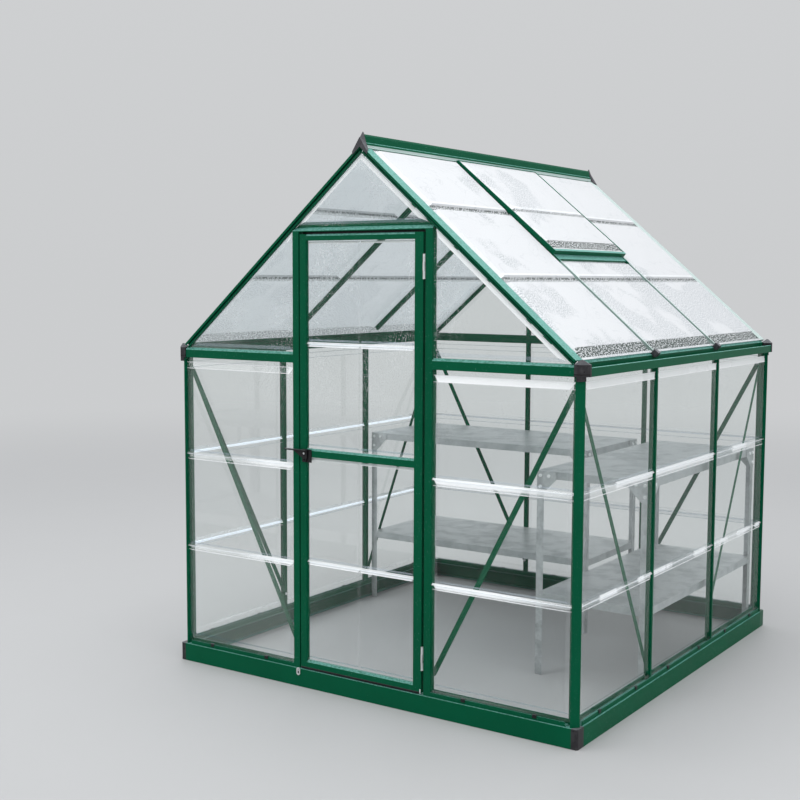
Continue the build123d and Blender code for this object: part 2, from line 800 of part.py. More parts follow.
def build_gable_sheets():
    """Clear triangles above the eave beams and over the door."""
    low = eave_beam_high + panel_gap
    under = rafter_height + panel_gap
    gap = metal / 2 + panel_gap
    peak = (0, roof_height(0, under))

    def reach(height):
        return half_width - (height + under / cos_pitch - eave_height) / tan_pitch

    def pane(*points):
        plate = crosswise(outline(*points), panel_depth, panel_depth + sheet)
        base = inset(points, [gable_border] * len(points))
        return pressed(plate, base, [gable_bevel] * len(points), PANEL, lip_reach)

    front_side = door_post_outer + panel_gap
    front = pane((front_side, low), (reach(low), low), (front_side, roof_height(front_side, under)))
    over_low = header_low + header_slope_height + 4
    over = pane((-reach(over_low), over_low), (reach(over_low), over_low), peak)
    rear_side = door_post_outer + gap
    rear = pane((rear_side, low), (reach(low), low), (rear_side, roof_height(rear_side, under)))
    inner = door_post_outer - gap
    shoulder = roof_height(inner, under)
    middle = pane((-inner, low), (inner, low), (inner, shoulder), peak, (-inner, shoulder))
    return {
        "gable_sheets_front": both_sides(on(FRONT, [front])) + on(FRONT, [over]),
        "gable_sheets_rear": both_sides(on(REAR, [rear])) + on(REAR, [middle]),
    }


def build_header():
    """Header over the door: sloping drip ledge with an upstand behind the panel above."""
    low = header_low
    section = hollow(
        [
            (0, low),
            (member_depth, low),
            (member_depth, low + header_slope_height),
            (header_slope_depth, low + header_slope_height),
            (0, low + 3),
        ],
        1.5,
    )
    shelf = low + header_slope_height
    upstand = rectangle((header_slope_depth, shelf), (header_slope_depth + metal, shelf + header_upstand))
    bar = on(FRONT, [lengthwise(section + upstand, -door_post_outer, door_post_outer)])[0]
    room = rafter_room((0, half_width))
    return {"door_header": [bar - room - mirror(room, about=Plane.YZ)]}


def build_vent():
    """Roof vent: a curb that grows towards its foot, a rim round its own clear sheet, a sill below."""
    y0, y1 = stud_places[0] - vent_overlap, stud_places[-1] + vent_overlap
    run = vent_length - vent_top_gap
    tilt = math.degrees(math.atan2(vent_foot_rise - vent_head_rise, run))
    lid = SLOPE.location * Pos(vent_top_gap, 0, vent_head_rise) * Rot(0, -tilt, 0)
    depth = (-2 * vent_foot_rise, 0)
    ring = block((0, run), (y0, y1), depth) - block(
        (vent_bar, run - vent_foot_bar), (y0 + vent_bar, y1 - vent_bar), (depth[0] - 1, 1)
    )
    seat_run, seat_sides = (vent_rim, run - vent_foot_rim), (y0 + vent_rim, y1 - vent_rim)
    ring = ring - block(seat_run, seat_sides, (-vent_seat, 1))
    room = block((0, vent_length + 1), (y0 - 1, y1 + 1), (mid_cap_rise, 2 * vent_foot_rise))
    plate = block(
        (seat_run[0] + sheet_play, seat_run[1] - sheet_play),
        (seat_sides[0] + sheet_play, seat_sides[1] - sheet_play),
        (-vent_seat, sheet - vent_seat),
    )
    x0, x1, z = vent_bar, run - vent_foot_bar, sheet - vent_seat
    base = [(x0, y0 + vent_bar), (x1, y0 + vent_bar), (x1, y1 - vent_bar), (x0, y1 - vent_bar)]
    bevels = [roof_head_bevel, roof_last_bevel, roof_head_bevel, roof_head_bevel]
    pane = pressed(plate, base, bevels, Plane.XY.offset(z), vent_tray_rise)
    gap = metal / 2
    sill_sides = (stud_places[0] + gap, stud_places[-1] - gap)
    sill_run = (vent_length - vent_foot_bar, vent_length + vent_sill)
    vent_sill_bar = block(sill_run, sill_sides, (-roof_sheet_drop, vent_sill_top))
    return {
        "vent_frame": [(lid * ring) & (SLOPE.location * room), SLOPE.location * vent_sill_bar],
        "vent_sheet": [lid * pane],
    }


def build_clips():
    """Small clips that hold the lowest sheets to the sills, two to a bay."""
    def clip(place):
        sides = (place - clip_width / 2, place + clip_width / 2)
        low, high = sill_top + clip_gauge - clip_height, sill_top + clip_gauge
        face = block(sides, (-clip_gauge, 0), (low, high))
        hook = block(sides, (-clip_gauge, clip_hook), (sill_top + sheet_play, high))
        return face + hook

    def pair(low, high):
        return [clip(low + (high - low) * share) for share in clip_shares]

    front = pair(door_post_outer, half_width - post_reach)
    rear = front + pair(-door_post_outer, door_post_outer)[1:]
    edges = [-half_length + post_reach] + stud_places + [half_length - post_reach]
    side = [c for low, high in zip(edges, edges[1:]) for c in pair(low, high)]
    clips = both_sides(on(FRONT, front)) + both_sides(on(REAR, rear)) + on(RIGHT, side) + on(LEFT, side)
    return {"sheet_clips": clips}


def rail(low, height, start, end):
    """Door rail with a bevelled top edge."""
    section = hollow(
        [(0, low), (door_depth, low), (door_depth, low + height), (rail_bevel, low + height),
         (0, low + height - rail_bevel)],
        metal,
    )
    return lengthwise(section, start, end)


def stile(start, width):
    """Door stile: rectangular tube."""
    plan = rectangle((start, 0), (start + width, door_depth))
    plan = plan - rectangle((start + metal, metal), (start + width - metal, door_depth - metal))
    return upright(plan, door_low, door_high)


def build_door():
    """Door leaf: stiles, three rails and clear sheets between them."""
    left_in, right_in = door_left + latch_stile_width, door_right - hinge_stile_width
    mid_high = mid_rail_low + mid_rail_height
    low_in = door_low + bottom_rail_height
    high_in = door_high - top_rail_height
    bay = (left_in + panel_gap, right_in - panel_gap)
    under_rail, under_top = mid_rail_low - sheet_play, high_in - sheet_play
    lower_rows = [(door_seams[0], door_bevel), (under_rail - tray_border, door_bevel)]
    upper_rows = [(door_seams[1], door_bevel), (under_top - tray_border, door_bevel)]
    lower = sheet_rows(*bay, low_in + sheet_play, lower_rows, under_rail, 2)
    upper = sheet_rows(*bay, mid_high + sheet_play, upper_rows, under_top, 2)
    return {
        "door_stiles": on(FRONT, [stile(door_left, latch_stile_width), stile(right_in, hinge_stile_width)]),
        "door_top_rail": on(FRONT, [rail(high_in, top_rail_height, left_in, right_in)]),
        "door_mid_rail": on(FRONT, [rail(mid_rail_low, mid_rail_height, left_in, right_in)]),
        "door_bottom_rail": on(FRONT, [rail(door_low, bottom_rail_height, left_in, right_in)]),
        "door_sheets": on(FRONT, lower + upper),
    }


def round_bar(x, y, low, high, radius):
    """Upright cylinder."""
    return Pos(x, y, low) * Cylinder(radius, high - low, align=(Align.CENTER, Align.CENTER, Align.MIN))


def build_hinges():
    """Two hinges set in the gap: pin and end knuckles on the post, middle knuckle on the door."""
    fixed, moving = [], []
    third = hinge_length / 3
    outer, inner = -half_length + metal, -half_length + hinge_leaf_reach
    for low in hinge_heights:
        high = low + hinge_length
        pieces = [round_bar(hinge_x, hinge_y, low, high, hinge_pin_radius)]
        pieces.append(block((doorway_half - hinge_leaf, doorway_half), (outer, inner), (low, high)))
        for start in (low, low + 2 * third):
            pieces.append(round_bar(hinge_x, hinge_y, start, start + third, hinge_radius))
            arm = (hinge_x + hinge_pin_radius, doorway_half)
            pieces.append(block(arm, (hinge_y, outer), (start, start + third)))
        fixed.append(joined(pieces))
        start, end = low + third + hinge_play, low + 2 * third - hinge_play
        knuckle = round_bar(hinge_x, hinge_y, start, end, hinge_radius)
        arm = block((door_right, hinge_x - hinge_pin_radius), (hinge_y, outer), (start, end))
        leaf = block((door_right, door_right + hinge_leaf), (outer, inner), (start, end))
        bore = round_bar(hinge_x, hinge_y, start, end, hinge_pin_radius + 0.1)
        moving.append(joined([knuckle, arm, leaf]) - bore)
    return {"hinge_plates": fixed, "hinge_knuckles": moving}


def forward_bar(x, z, near, length, radius):
    """Cylinder that points out of the front wall, in its own frame, from one depth."""
    bar = Cylinder(radius, length, align=(Align.CENTER, Align.CENTER, Align.MIN))
    return Pos(x, near, z) * Rot(90, 0, 0) * bar


def build_latch():
    """Latch: a plate on the stile and rail, and a lever with a grip and an eye that turns about a pin."""
    plate = block(
        (latch_x - latch_plate_left, latch_x + latch_plate_right),
        (-moulded, 0),
        (latch_height - latch_plate_low, latch_height + latch_plate_high),
    )
    pivot = forward_bar(latch_x, latch_height, -moulded, latch_clear + metal, latch_pin)
    points = [(latch_x + x, latch_height + z) for x, z in latch_blade_left + latch_blade_right]
    arm = crosswise(outline(*points), -latch_clear - moulded, -latch_clear)
    right, high = points[-1]
    grip = block(
        (latch_x - latch_arm, right),
        (-latch_clear - moulded - latch_grip_reach, -latch_clear),
        (high - latch_grip, high),
    )
    deep = 2 * (latch_clear + moulded + latch_grip_reach)
    bore = forward_bar(latch_x, latch_height, 0, deep, latch_pin + latch_play)
    eye = forward_bar(latch_x + latch_eye[0], latch_height + latch_eye[1], 0, deep, latch_eye_radius)
    return {
        "latch_plate": on(FRONT, [plate + pivot]),
        "latch_lever": on(FRONT, [arm + grip - bore - eye]),
    }


def build_catch():
    """Oval escutcheon of the door's foot bolt, on the skirt below the doorway's latch side."""
    oval = SlotOverall(catch_height, catch_width) - SlotOverall(catch_slot[1], catch_slot[0])
    middle = base_height + catch_height / 2 - catch_height + wall_inset / 2
    ring = Pos(-doorway_half, middle) * Rot(0, 0, 90) * oval
    return {"door_catch": [crosswise(ring, -base_length / 2 - catch_depth, -base_length / 2)]}


def staging_leg_piece(corner, signs):
    """Angle leg at one corner of a staging unit, with a gusset on each outer face under the shelf."""
    (corner_x, corner_y), (sign_x, sign_y) = corner, signs
    wide, thin, gusset = staging_leg, staging_gauge, staging_gusset

    def span(across, along, low):
        ends_x = sorted(corner_x + sign_x * x for x in across)
        ends_y = sorted(corner_y + sign_y * y for y in along)
        return block(ends_x, ends_y, (low, staging_top))

    def plate(corner_place, sign):
        high, low = staging_top, staging_top - gusset
        plan = [(0, low), (wide, low), (gusset, high - wide), (gusset, high), (0, high)]
        return outline(*[(corner_place + sign * run, height) for run, height in plan])

    leg = span((0, wide), (0, thin), 0) + span((0, thin), (0, wide), 0)
    over_x = crosswise(plate(corner_x, sign_x), *sorted((corner_y, corner_y - sign_y * thin)))
    over_y = lengthwise(plate(corner_y, sign_y), corner_x, corner_x - sign_x * thin)
    return leg + over_x + over_y


def staging_shelf(across, along, top):
    """Flat shelf with turned-down edges, set inside the legs of a staging unit."""
    (x0, x1), (y0, y1) = across, along
    thin = staging_gauge
    outer = block((x0 + thin, x1 - thin), (y0 + thin, y1 - thin), (top - staging_edge, top))
    void = block((x0 + 2 * thin, x1 - 2 * thin), (y0 + 2 * thin, y1 - 2 * thin), (0, top - thin))
    return outer - void


def build_staging():
    """Two-tier staging along the right wall and along the rear wall, four legs and two shelves each."""
    legs, shelves = [], []
    for across, along in (staging_right, staging_rear):
        for corner_x, sign_x in zip(across, (1, -1)):
            for corner_y, sign_y in zip(along, (1, -1)):
                legs.append(staging_leg_piece((corner_x, corner_y), (sign_x, sign_y)))
        shelves += [staging_shelf(across, along, top) for top in (staging_low, staging_top)]
    return {"staging_legs": legs, "staging_shelves": shelves}


def main():
    """Build every node and write one STEP file for each."""
    os.makedirs("parts", exist_ok=True)
    nodes = {}
    for builder in (
        build_skirts,
        build_wall_frame,
        build_eaves,
        build_roof_frame,
        build_header,
        build_vent,
        build_wall_sheets,
        build_gable_sheets,
        build_roof_sheets,
        build_clips,
        build_door,
        build_hinges,
        build_latch,
        build_catch,
        build_staging,
    ):
        nodes.update(builder())
    for name, shapes in nodes.items():
        solids = [solid for shape in shapes for solid in shape.solids()]
        export_step(Compound(children=solids), f"parts/{name}.step")


main()
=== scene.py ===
"""Looks of a small clear-panelled greenhouse with a green aluminium frame, in the rain.

Lengths are in metres. The door gable looks towards -y, and the door hinges on its +x side.
"""

from __future__ import annotations

import json
import logging
import math
from dataclasses import dataclass, field
from enum import Enum
from functools import reduce
from typing import Any, Sequence

import bpy
from mathutils import Matrix, Vector

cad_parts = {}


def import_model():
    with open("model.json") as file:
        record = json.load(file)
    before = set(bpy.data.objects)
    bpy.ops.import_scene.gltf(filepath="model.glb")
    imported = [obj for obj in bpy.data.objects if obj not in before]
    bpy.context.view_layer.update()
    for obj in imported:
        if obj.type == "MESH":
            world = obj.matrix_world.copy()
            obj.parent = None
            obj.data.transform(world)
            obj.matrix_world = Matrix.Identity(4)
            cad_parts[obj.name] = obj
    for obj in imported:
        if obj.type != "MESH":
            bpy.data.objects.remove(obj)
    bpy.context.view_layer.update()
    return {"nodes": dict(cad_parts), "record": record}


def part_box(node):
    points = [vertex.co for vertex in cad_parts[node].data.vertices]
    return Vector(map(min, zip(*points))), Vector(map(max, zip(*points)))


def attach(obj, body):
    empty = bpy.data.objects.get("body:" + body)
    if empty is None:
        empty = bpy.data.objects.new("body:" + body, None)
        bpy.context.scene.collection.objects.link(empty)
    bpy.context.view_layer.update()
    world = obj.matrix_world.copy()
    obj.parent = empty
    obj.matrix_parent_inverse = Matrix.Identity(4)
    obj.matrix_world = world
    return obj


LOG = logging.getLogger("greenhouse")

Colour = tuple[float, float, float]
Point = tuple[float, float, float]
Step = tuple[float, float]
Seat = tuple[Point, Point]

ROOF_PITCH = math.radians(40.5)
APEX = 2.0481
BLACK: Colour = (0.0, 0.0, 0.0)


class Sheen(Enum):
    """Where a painted sky sheen lies bright on the painted metal in the rain."""

    FRAME = "on every upward face"
    GUTTER = "mostly on the gutter's lip"
    ROOF = "on the roof's bars, nearly white away from the door gable"
    RIDGE = "on the ridge, nearly white along the foot of both slopes"


class Wire:
    """One value in a material, so that maths on it reads as an expression."""

    def __init__(self, recipe: Recipe, socket: bpy.types.NodeSocket) -> None:
        """Keep the socket and the recipe that it belongs to."""
        self.recipe = recipe
        self.socket = socket

    def _math(self, operation: str, *values: Any) -> Wire:
        """Add one Math node on the given values."""
        return self.recipe.add("ShaderNodeMath", {"operation": operation}, dict(enumerate(values)))

    def __add__(self, other: Any) -> Wire:
        """Sum."""
        return self._math("ADD", self, other)

    def __radd__(self, other: Any) -> Wire:
        """Sum, with the number first."""
        return self._math("ADD", other, self)

    def __sub__(self, other: Any) -> Wire:
        """Difference."""
        return self._math("SUBTRACT", self, other)

    def __rsub__(self, other: Any) -> Wire:
        """Difference, with the number first."""
        return self._math("SUBTRACT", other, self)

    def __mul__(self, other: Any) -> Wire:
        """Product."""
        return self._math("MULTIPLY", self, other)

    def __rmul__(self, other: Any) -> Wire:
        """Product, with the number first."""
        return self._math("MULTIPLY", other, self)

    def __truediv__(self, other: Any) -> Wire:
        """Quotient."""
        return self._math("DIVIDE", self, other)

    def __abs__(self) -> Wire:
        """Size without sign."""
        return self._math("ABSOLUTE", self)

    def root(self) -> Wire:
        """Square root."""
        return self._math("SQRT", self)

    def at_most(self, other: Any) -> Wire:
        """The lesser of two values."""
        return self._math("MINIMUM", self, other)

    def at_least(self, other: Any) -> Wire:
        """The greater of two values."""
        return self._math("MAXIMUM", self, other)

    def rise(self, low: float, high: float) -> Wire:
        """Make a soft step.

        Args:
            low: The value where the step is 0.
            high: The value where the step is 1, over or under the other.

        Returns:
            The step, from 0 to 1.
        """
        first, last = sorted((low, high))
        settings = {"interpolation_type": "SMOOTHSTEP"}
        step = self.recipe.add("ShaderNodeMapRange", settings, {0: self, 1: first, 2: last})
        return step if high > low else 1.0 - step

    def near(self, places: Sequence[float]) -> Wire:
        """Distance to the nearest of several places."""
        return reduce(Wire.at_most, [abs(self - place) for place in places])


class Recipe:
    """Node tree of one material."""

    def __init__(self, name: str) -> None:
        """Start an empty material.

        Args:
            name: The material's name.
        """
        self.material = bpy.data.materials.new(name)
        self.material.use_nodes = True
        self.tree = self.material.node_tree
        self.tree.nodes.clear()
        self.output = self.tree.nodes.new("ShaderNodeOutputMaterial")

    def add(
        self,
        kind: str,
        settings: dict[str, Any] | None = None,
        inputs: dict[int | str, Any] | None = None,
        output: int | str = 0,
    ) -> Wire:
        """Add a node, set it up and link it.

        Args:
            kind: Blender's type of the node.
            settings: Properties of the node.
            inputs: Value or link of each input socket, by number or name.
            output: The output socket that is wanted.

        Returns:
            The wanted output.
        """
        node = self.tree.nodes.new(kind)
        for name, value in (settings or {}).items():
            setattr(node, name, value)
        for name, value in (inputs or {}).items():
            socket = node.inputs[name]
            if isinstance(value, Wire):
                self.tree.links.new(value.socket, socket)
            elif isinstance(value, tuple) and socket.type == "RGBA":
                socket.default_value = (*value, 1.0)
            else:
                socket.default_value = value
        return Wire(self, node.outputs[output])

    def gloss(self, inputs: dict[str, Any]) -> Wire:
        """Add a Principled shader."""
        return self.add("ShaderNodeBsdfPrincipled", inputs=inputs)

    def layered(self, share: Any, under: Wire, over: Wire) -> Wire:
        """Lay one shader over a share of another."""
        return self.add("ShaderNodeMixShader", inputs={0: share, 1: under, 2: over})

    def place(self) -> Wire:
        """Position on the piece."""
        return self.add("ShaderNodeTexCoord", output="Object")

    def axes(self, vector: Wire) -> tuple[Wire, Wire, Wire]:
        """The three parts of a vector.

        Args:
            vector: Any vector.

        Returns:
            Its x, y and z.
        """
        outs = self.add("ShaderNodeSeparateXYZ", inputs={0: vector}).socket.node.outputs
        return Wire(self, outs[0]), Wire(self, outs[1]), Wire(self, outs[2])

    def facing(self) -> tuple[Wire, Wire, Wire]:
        """The three parts of the surface's own normal."""
        return self.axes(self.add("ShaderNodeNewGeometry", output="Normal"))

    def wall_plane(self) -> Wire:
        """Position on an upright wall as run and height, by one formula for all four walls."""
        x, y, z = self.axes(self.place())
        return self.add("ShaderNodeCombineXYZ", inputs={0: x + y, 1: z, 2: 0.0})

    def roof_plane(self) -> Wire:
        """Position on a roof slope.

        Returns:
            Run along the house and distance down from the ridge. The run is shifted on one slope, so that
            the two slopes differ.
        """
        x, y, z = self.axes(self.place())
        down = abs(x) * math.cos(ROOF_PITCH) + (APEX - z) * math.sin(ROOF_PITCH)
        shift = 3.0 * x.rise(-0.001, 0.001)
        return self.add("ShaderNodeCombineXYZ", inputs={0: y + shift, 1: down, 2: 0.0})

    def roof_lift(self) -> Wire:
        """Height over the plane of a roof slope that runs through the ridge."""
        x, _, z = self.axes(self.place())
        return abs(x) * math.sin(ROOF_PITCH) - (APEX - z) * math.cos(ROOF_PITCH)

    def noise(
        self,
        scale: float,
        detail: float = 2.0,
        stretch: Point = (1, 1, 1),
        warp: float = 0.0,
        on: Wire | None = None,
    ) -> Wire:
        """Smooth noise.

        Args:
            scale: Waves per metre.
            detail: How many finer waves are added.
            stretch: Scale of each axis.
            warp: How much the noise is distorted.
            on: Flat position to draw it on, in place of the position in space.

        Returns:
            The noise, from 0 to 1.
        """
        vector = self.add("ShaderNodeMapping", inputs={"Vector": on or self.place(), "Scale": stretch})
        inputs = {"Vector": vector, "Scale": scale, "Detail": detail, "Distortion": warp}
        return self.add("ShaderNodeTexNoise", {"noise_dimensions": "2D" if on else "3D"}, inputs)

    def drops(
        self, spacing: float, share: float, stretch: Point = (1, 1, 1), on: Wire | None = None
    ) -> Wire:
        """Water drops of many sizes.

        Args:
            spacing: Mean distance between drop centres.
            share: Part of the places that hold a drop.
            stretch: Scale of each axis.
            on: Flat position to draw them on, in place of the position in space.

        Returns:
            Height from 0 beside a drop to 1 at its centre.
        """
        smallest, spread = 0.12, 0.33
        vector = self.add("ShaderNodeMapping", inputs={"Vector": on or self.place(), "Scale": stretch})
        settings = {"voronoi_dimensions": "2D" if on else "3D"}
        distance = self.add("ShaderNodeTexVoronoi", settings, {"Vector": vector, "Scale": 1.0 / spacing})
        size, chance, _ = self.axes(Wire(self, distance.socket.node.outputs["Color"]))
        radius = smallest + spread * size
        return (1.0 - distance / radius).at_least(0.0) * chance.rise(share, share - 0.01)

    def mixed(self, share: Any, first: Any, second: Any) -> Wire:
        """Blend two colours, from the first at 0 to the second at 1."""
        settings = {"data_type": "RGBA"}
        return self.add("ShaderNodeMix", settings, {0: share, 6: first, 7: second}, output=2)

    def bump(self, height: Wire, strength: float, distance: float) -> Wire:
        """Normal of a surface that is raised by a height from 0 to 1."""
        inputs = {"Height": height, "Strength": strength, "Distance": distance}
        return self.add("ShaderNodeBump", inputs=inputs)

    def finish(self, shader: Wire) -> bpy.types.Material:
        """Send a shader to the output and hand over the material."""
        self.tree.links.new(shader.socket, self.output.inputs["Surface"])
        return self.material


@dataclass(frozen=True)
class GreenPaint:
    """Glossy green powder coat, beaded with rain, with a painted sky sheen on the faces that look up."""

    name: str = "green_paint"
    sheen: Sheen = Sheen.FRAME
    colour: Colour = (0.0, 0.1, 0.045)
    deep: Colour = (0.0, 0.076, 0.034)
    wet: Colour = (0.17, 0.42, 0.37)
    glare: Colour = (0.52, 0.63, 0.61)
    bead_glint: Colour = (0.3, 0.55, 0.48)
    roughness: float = 0.32
    clouds: float = 7.0
    rain_grain: float = 160.0
    bead_spacing: float = 0.006
    gutter_lip: Step = (1.2775, 1.2785)
    slope_head: Step = (2.048, 2.046)
    slope_foot: Step = (2.0345, 2.036)
    rear_bay: Step = (0.34, 0.36)
    lower_rows: Step = (0.635, 0.645)
    past_front_bay: Step = (-0.5, -0.45)
    outer_side: Step = (-0.007, -0.005)

    def build(self) -> bpy.types.Material:
        """Make the material.

        Returns:
            The finished material.
        """
        r = Recipe(self.name)
        cloud = r.noise(self.clouds, 3.0)
        beads = r.drops(self.bead_spacing, 0.5)
        film_sheen, wet = self.rain(r, cloud)
        colour = r.mixed(film_sheen, r.mixed(cloud, self.deep, self.colour), wet)
        # Beads of rain get a painted glint, a lighter teal.
        colour = r.mixed(beads.rise(0.35, 0.7) * 0.25, colour, self.bead_glint)
        shader = r.gloss(
            {
                "Base Color": colour,
                "Roughness": self.roughness + 0.1 * cloud - 0.1 * beads.rise(0.0, 0.3),
                "Specular IOR Level": 0.05,
                "Coat Weight": 0.04,
                "Coat Roughness": 0.06,
                "Normal": r.bump(beads.at_most(0.6), 0.3, 0.0006),
            }
        )
        return r.finish(shader)

    def rain(self, r: Recipe, cloud: Wire) -> tuple[Wire, Any]:
        """Paint the sky sheen of the rain on the faces that look up.

        Args:
            r: The material's recipe.
            cloud: Broad noise.

        Returns:
            Share of the painted sheen and its colour.
        """
        _, y, z = r.axes(r.place())
        _, _, up = r.facing()
        # Painted sky sheen: a light teal in patches on the faces that look up.
        film_sheen = up.rise(0.4, 0.75) * (0.35 + 0.5 * r.noise(self.rain_grain, 2.0).rise(0.35, 0.6))
        # The gutter's lip carries most of the painted sheen.
        if self.sheen is Sheen.GUTTER:
            return film_sheen * (0.15 + 0.85 * z.rise(*self.gutter_lip)), self.wet
        # Painted sky reflection, nearly white along the foot of both slopes of the ridge.
        if self.sheen is Sheen.RIDGE:
            slope = z.rise(*self.slope_head) * z.rise(*self.slope_foot)
            film_sheen = film_sheen.at_least(slope * (0.65 + 0.35 * cloud))
            return film_sheen, r.mixed(slope, self.wet, self.glare)
        # Painted sky reflection on the roof's bars: nearly white on the rear bays and the lower rows, and
        # lighter on their outer faces.
        if self.sheen is Sheen.ROOF:
            _, down, _ = r.axes(r.roof_plane())
            low = down.rise(*self.lower_rows) * y.rise(*self.past_front_bay)
            back = (y.rise(*self.rear_bay) + low).at_most(1.0)
            outside = r.roof_lift().rise(*self.outer_side)
            film_sheen = (film_sheen + up.rise(0.6, 0.7) * (0.25 + back) + back * outside * 0.6).at_most(1.0)
            return film_sheen, r.mixed(back, self.wet, self.glare)
        return film_sheen, self.wet


@dataclass(frozen=True)
class DarkPlastic:
    """Moulded plastic with a fine grain and patches of dust, with a painted sky sheen on its upward
    faces.
    """

    name: str = "dark_plastic"
    colour: Colour = (0.018, 0.017, 0.02)
    dust: Colour = (0.06, 0.058, 0.062)
    wet: Colour = (0.16, 0.165, 0.18)
    # A near-black line of painted shade in the bracket's groove.
    split: Colour = (0.001, 0.001, 0.001)
    roughness: float = 0.42
    grain: float = 1500.0
    clouds: float = 45.0
    bead_spacing: float = 0.007
    groove_shade_height: float | None = None
    groove_shade_width: Step = (0.0022, 0.0012)
    rear: Colour | None = None

    def build(self) -> bpy.types.Material:
        """Make the material.

        Returns:
            The finished material.
        """
        r = Recipe(self.name)
        _, y, z = r.axes(r.place())
        _, _, up = r.facing()
        cloud = r.noise(self.clouds, 4.0).rise(0.45, 0.75)
        beads = r.drops(self.bead_spacing, 0.5)
        colour = r.mixed(cloud * 0.5, self.colour, self.dust)
        # Painted sky sheen: lighter grey on the faces that look up.
        colour = r.mixed(up.rise(0.15, 0.7) * (0.6 + 0.4 * cloud), colour, self.wet)
        # Painted shade: a near-black line in the groove at one height.
        if self.groove_shade_height is not None:
            colour = r.mixed(abs(z - self.groove_shade_height).rise(*self.groove_shade_width), colour, self.split)
        if self.rear is not None:
            colour = r.mixed(y.rise(0.0, 0.01), colour, self.rear)
        height = 0.1 * r.noise(self.grain, 2.0) + 0.8 * beads.at_most(0.6)
        shader = r.gloss(
            {
                "Base Color": colour,
                "Roughness": self.roughness + 0.2 * cloud - 0.2 * beads.rise(0.0, 0.3),
                "Specular IOR Level": 0.3,
                "Normal": r.bump(height, 0.35, 0.0008),
            }
        )
        return r.finish(shader)


@dataclass(frozen=True)
class BareMetal:
    """Plain metal with a spangle and rain marks."""

    name: str = "zinc_plate"
    colour: Colour = (0.8, 0.82, 0.82)
    dull: Colour = (0.5, 0.52, 0.53)
    roughness: float = 0.3
    metallic: float = 0.85
    spangle: float = 110.0
    brushing: float = 300.0
    stains: float = 14.0

    def build(self) -> bpy.types.Material:
        """Make the material.

        Returns:
            The finished material.
        """
        r = Recipe(self.name)
        flakes = r.add(
            "ShaderNodeTexVoronoi", inputs={"Vector": r.place(), "Scale": self.spangle}, output="Color"
        )
        tone, _, _ = r.axes(flakes)
        brush = r.noise(self.brushing, 2.0, (1.0, 1.0, 0.1))
        stain = r.noise(self.stains, 4.0).rise(0.4, 0.7)
        shader = r.gloss(
            {
                "Base Color": r.mixed(0.3 * tone + 0.55 * stain, self.colour, self.dull),
                "Metallic": self.metallic,
                "Roughness": self.roughness + 0.15 * brush + 0.15 * stain,
                "Normal": r.bump(brush, 0.1, 0.0005),
            }
        )
        return r.finish(shader)


